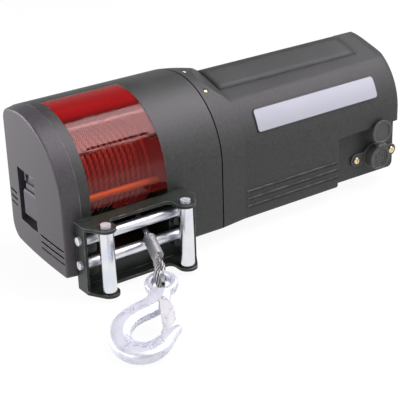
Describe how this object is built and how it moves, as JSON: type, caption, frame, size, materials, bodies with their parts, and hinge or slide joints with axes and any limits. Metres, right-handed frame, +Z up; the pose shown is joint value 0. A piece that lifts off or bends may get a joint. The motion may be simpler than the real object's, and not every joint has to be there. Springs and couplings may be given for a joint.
{
  "type": "electric recovery winch",
  "caption": "Electric recovery winch: geared rope drum between castings, motor under a long cover, roller fairlead, clutch lever, hinged drum guard and a latched hook on wire rope.",
  "frame": {"origin": "on the floor plane of the feet, in the middle of the four foot bolts", "axes": "+X along the drum towards the motor, -Y out through the fairlead, +Z up"},
  "size_m": [0.6004, 0.3766, 0.215],
  "materials": {
    "black_casting": "satin black coat, fine texture",
    "black_shell": "satin black, fine grain",
    "black_frame": "semi-gloss black coat",
    "red_guard": "clear red, polished",
    "zinc": "bright zinc",
    "yellow_zinc": "yellow zinc",
    "rope": "bright stranded wire",
    "lever": "grey, moulded",
    "plate": "brushed, bare",
    "steel": "machined",
    "bronze": "bearing bronze",
    "brass": "bright",
    "copper": "wound wire and copper bars",
    "lining": "friction lining",
    "carbon": "pressed carbon",
    "magnet": "sintered",
    "motor_steel": "black coat",
    "moulding": "black moulding",
    "socket": "black rubber"
  },
  "bodies": {
    "frame": {"clutch_housing": "black_casting", "clutch_cover": "black_shell", "centre_housing": "black_casting", "motor_cover": "black_shell", "rear_shroud": "black_frame", "tie_bars": "yellow_zinc", "drum_guard_top": "red_guard", "flap_hinge_pin": "zinc", "drum_bushes": "bronze", "lever_pin": "steel", "ring_gear": "steel", "gearbox_plate": "black_casting", "brake_lining": "lining", "motor_case": "motor_steel", "field_magnets": "magnet", "motor_end_bell": "black_casting", "brushes": "carbon", "motor_bearings": "bronze", "contactor": "moulding", "contactor_studs": "copper", "socket_body": "socket", "socket_screws": "brass", "cap_hinge_pin": "zinc", "nameplate": "plate", "cover_screws": "zinc", "fairlead_frame": "black_frame", "fairlead_bolts": "zinc", "roller_pins": "zinc", "rope_lead": "rope", "rope_ferrule": "zinc", "rope_loop": "rope", "thimble": "zinc"},
    "drum": {"drum": "steel", "rope_core": "rope", "rope_winding": "rope"},
    "output_shaft": {"output_shaft": "steel"},
    "output_planet_1": {"output_planet_1": "steel"},
    "output_planet_2": {"output_planet_2": "steel"},
    "output_planet_3": {"output_planet_3": "steel"},
    "first_carrier": {"first_carrier": "steel"},
    "input_planet_1": {"input_planet_1": "steel"},
    "input_planet_2": {"input_planet_2": "steel"},
    "input_planet_3": {"input_planet_3": "steel"},
    "armature": {"armature": "motor_steel", "commutator": "copper", "input_sun": "steel", "brake_disc": "steel"},
    "clutch_dog": {"clutch_dog": "steel"},
    "clutch_rod": {"clutch_rod": "steel"},
    "clutch_lever": {"clutch_lever": "lever"},
    "guard_flap": {"drum_guard_flap": "red_guard"},
    "left_roller": {"left_roller": "zinc"},
    "right_roller": {"right_roller": "zinc"},
    "lower_roller": {"lower_roller": "zinc"},
    "upper_roller": {"upper_roller": "zinc"},
    "socket_cap": {"socket_cap": "socket"},
    "hook": {"hook": "zinc", "latch_pin": "zinc"},
    "hook_latch": {"hook_latch": "zinc"}
  },
  "joints": [
    {"name": "drum_spin", "type": "hinge", "parent": "frame", "child": "drum", "pos_m": [-0.035, 0, 0.114], "axis": [1, 0, 0], "continuous": true},
    {"name": "output_spin", "type": "hinge", "parent": "frame", "child": "output_shaft", "pos_m": [-0.035, 0, 0.114], "axis": [1, 0, 0], "continuous": true},
    {"name": "first_carrier_spin", "type": "hinge", "parent": "frame", "child": "first_carrier", "pos_m": [-0.035, 0, 0.114], "axis": [1, 0, 0], "continuous": true},
    {"name": "armature_spin", "type": "hinge", "parent": "frame", "child": "armature", "pos_m": [-0.035, 0, 0.114], "axis": [1, 0, 0], "continuous": true},
    {"name": "output_planet_1_spin", "type": "hinge", "parent": "output_shaft", "child": "output_planet_1", "pos_m": [0.044, 0.03, 0.114], "axis": [1, 0, 0], "continuous": true},
    {"name": "output_planet_2_spin", "type": "hinge", "parent": "output_shaft", "child": "output_planet_2", "pos_m": [0.044, -0.015, 0.13998], "axis": [1, 0, 0], "continuous": true},
    {"name": "output_planet_3_spin", "type": "hinge", "parent": "output_shaft", "child": "output_planet_3", "pos_m": [0.044, -0.015, 0.08802], "axis": [1, 0, 0], "continuous": true},
    {"name": "input_planet_1_spin", "type": "hinge", "parent": "first_carrier", "child": "input_planet_1", "pos_m": [0.071, 0.03, 0.114], "axis": [1, 0, 0], "continuous": true},
    {"name": "input_planet_2_spin", "type": "hinge", "parent": "first_carrier", "child": "input_planet_2", "pos_m": [0.071, -0.015, 0.13998], "axis": [1, 0, 0], "continuous": true},
    {"name": "input_planet_3_spin", "type": "hinge", "parent": "first_carrier", "child": "input_planet_3", "pos_m": [0.071, -0.015, 0.08802], "axis": [1, 0, 0], "continuous": true},
    {"name": "lever_swing", "type": "hinge", "parent": "frame", "child": "clutch_lever", "pos_m": [-0.117, 0.003, 0.122], "axis": [0, 1, 0], "range_deg": [0, 75]},
    {"name": "rod_slide", "type": "slide", "parent": "frame", "child": "clutch_rod", "axis": [-1, 0, 0], "range_m": [0, 0.004]},
    {"name": "dog_slide", "type": "slide", "parent": "output_shaft", "child": "clutch_dog", "axis": [-1, 0, 0], "range_m": [0, 0.004]},
    {"name": "flap_swing", "type": "hinge", "parent": "frame", "child": "guard_flap", "pos_m": [-0.035, -0.06847, 0.17238], "axis": [-1, 0, 0], "range_deg": [0, 95]},
    {"name": "left_roller_spin", "type": "hinge", "parent": "frame", "child": "left_roller", "pos_m": [-0.0933, -0.1292, 0.052], "axis": [0, 0, 1], "continuous": true},
    {"name": "right_roller_spin", "type": "hinge", "parent": "frame", "child": "right_roller", "pos_m": [0.0233, -0.1292, 0.052], "axis": [0, 0, 1], "continuous": true},
    {"name": "lower_roller_spin", "type": "hinge", "parent": "frame", "child": "lower_roller", "pos_m": [-0.035, -0.1045, 0.044], "axis": [1, 0, 0], "continuous": true},
    {"name": "upper_roller_spin", "type": "hinge", "parent": "frame", "child": "upper_roller", "pos_m": [-0.035, -0.1045, 0.077], "axis": [1, 0, 0], "continuous": true},
    {"name": "cap_swing", "type": "hinge", "parent": "frame", "child": "socket_cap", "pos_m": [0.3915, -0.0895, 0.0685], "axis": [1, 0, 0], "range_deg": [0, 180]},
    {"name": "hook_swing", "type": "hinge", "parent": "frame", "child": "hook", "pos_m": [-0.0513, -0.18145, 0.03952], "axis": [-0.8695, 0.4896, -0.0649], "range_deg": [0, 60]},
    {"name": "latch_swing", "type": "hinge", "parent": "hook", "child": "hook_latch", "pos_m": [-0.07706, -0.227, 0.02892], "axis": [0.1526, 0.1413, -0.9781], "range_deg": [0, 33], "stiffness_Nm_per_rad": 0.05, "springref_deg": -22.92}
  ],
  "couplings": [
    {"joint": "output_spin", "follows": "drum_spin", "ratio": 1},
    {"joint": "first_carrier_spin", "follows": "drum_spin", "ratio": 4},
    {"joint": "armature_spin", "follows": "drum_spin", "ratio": 16},
    {"joint": "output_planet_1_spin", "follows": "drum_spin", "ratio": -3},
    {"joint": "output_planet_2_spin", "follows": "drum_spin", "ratio": -3},
    {"joint": "output_planet_3_spin", "follows": "drum_spin", "ratio": -3},
    {"joint": "input_planet_1_spin", "follows": "drum_spin", "ratio": -12},
    {"joint": "input_planet_2_spin", "follows": "drum_spin", "ratio": -12},
    {"joint": "input_planet_3_spin", "follows": "drum_spin", "ratio": -12},
    {"joint": "rod_slide", "follows": "lever_swing", "m_per_rad": 0.00305},
    {"joint": "dog_slide", "follows": "lever_swing", "m_per_rad": 0.00305}
  ]
}
